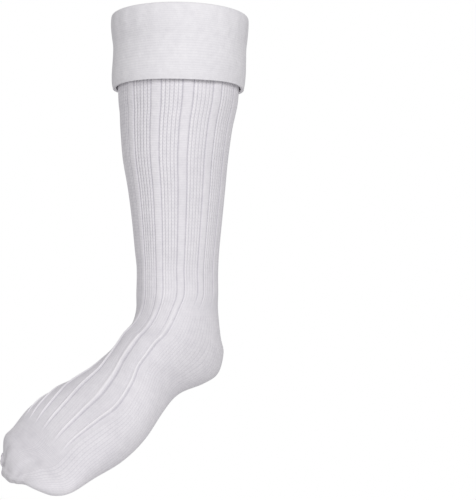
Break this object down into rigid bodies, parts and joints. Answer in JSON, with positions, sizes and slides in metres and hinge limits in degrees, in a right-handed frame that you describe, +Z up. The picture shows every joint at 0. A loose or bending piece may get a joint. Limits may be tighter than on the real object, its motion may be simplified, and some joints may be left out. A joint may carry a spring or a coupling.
{
  "type": "kilt hose sock",
  "caption": "Knee-length ribbed kilt hose sock with a turned-over cuff, open at the top and hollow to the toes, shaped as worn on a hanging foot",
  "frame": {"origin": "centre line of the leg at the fold of the turnover, where the leg goes in", "axes": "+Z up along the leg, -Y towards the toes, +X towards the inner side of the ankle"},
  "size_m": [0.1352, 0.2541, 0.4479],
  "materials": {
    "turnover_knit": "brushed reverse side of a white rib knit",
    "rib_knit": "white broad-rib wool-blend knit",
    "heel_knit": "plain white knit",
    "sole_knit": "plain white knit",
    "toe_knit": "plain white knit"
  },
  "bodies": {
    "root": {"turnover_cuff": "turnover_knit", "leg": "rib_knit", "heel": "heel_knit", "sole": "sole_knit", "toe": "toe_knit"}
  },
  "joints": []
}
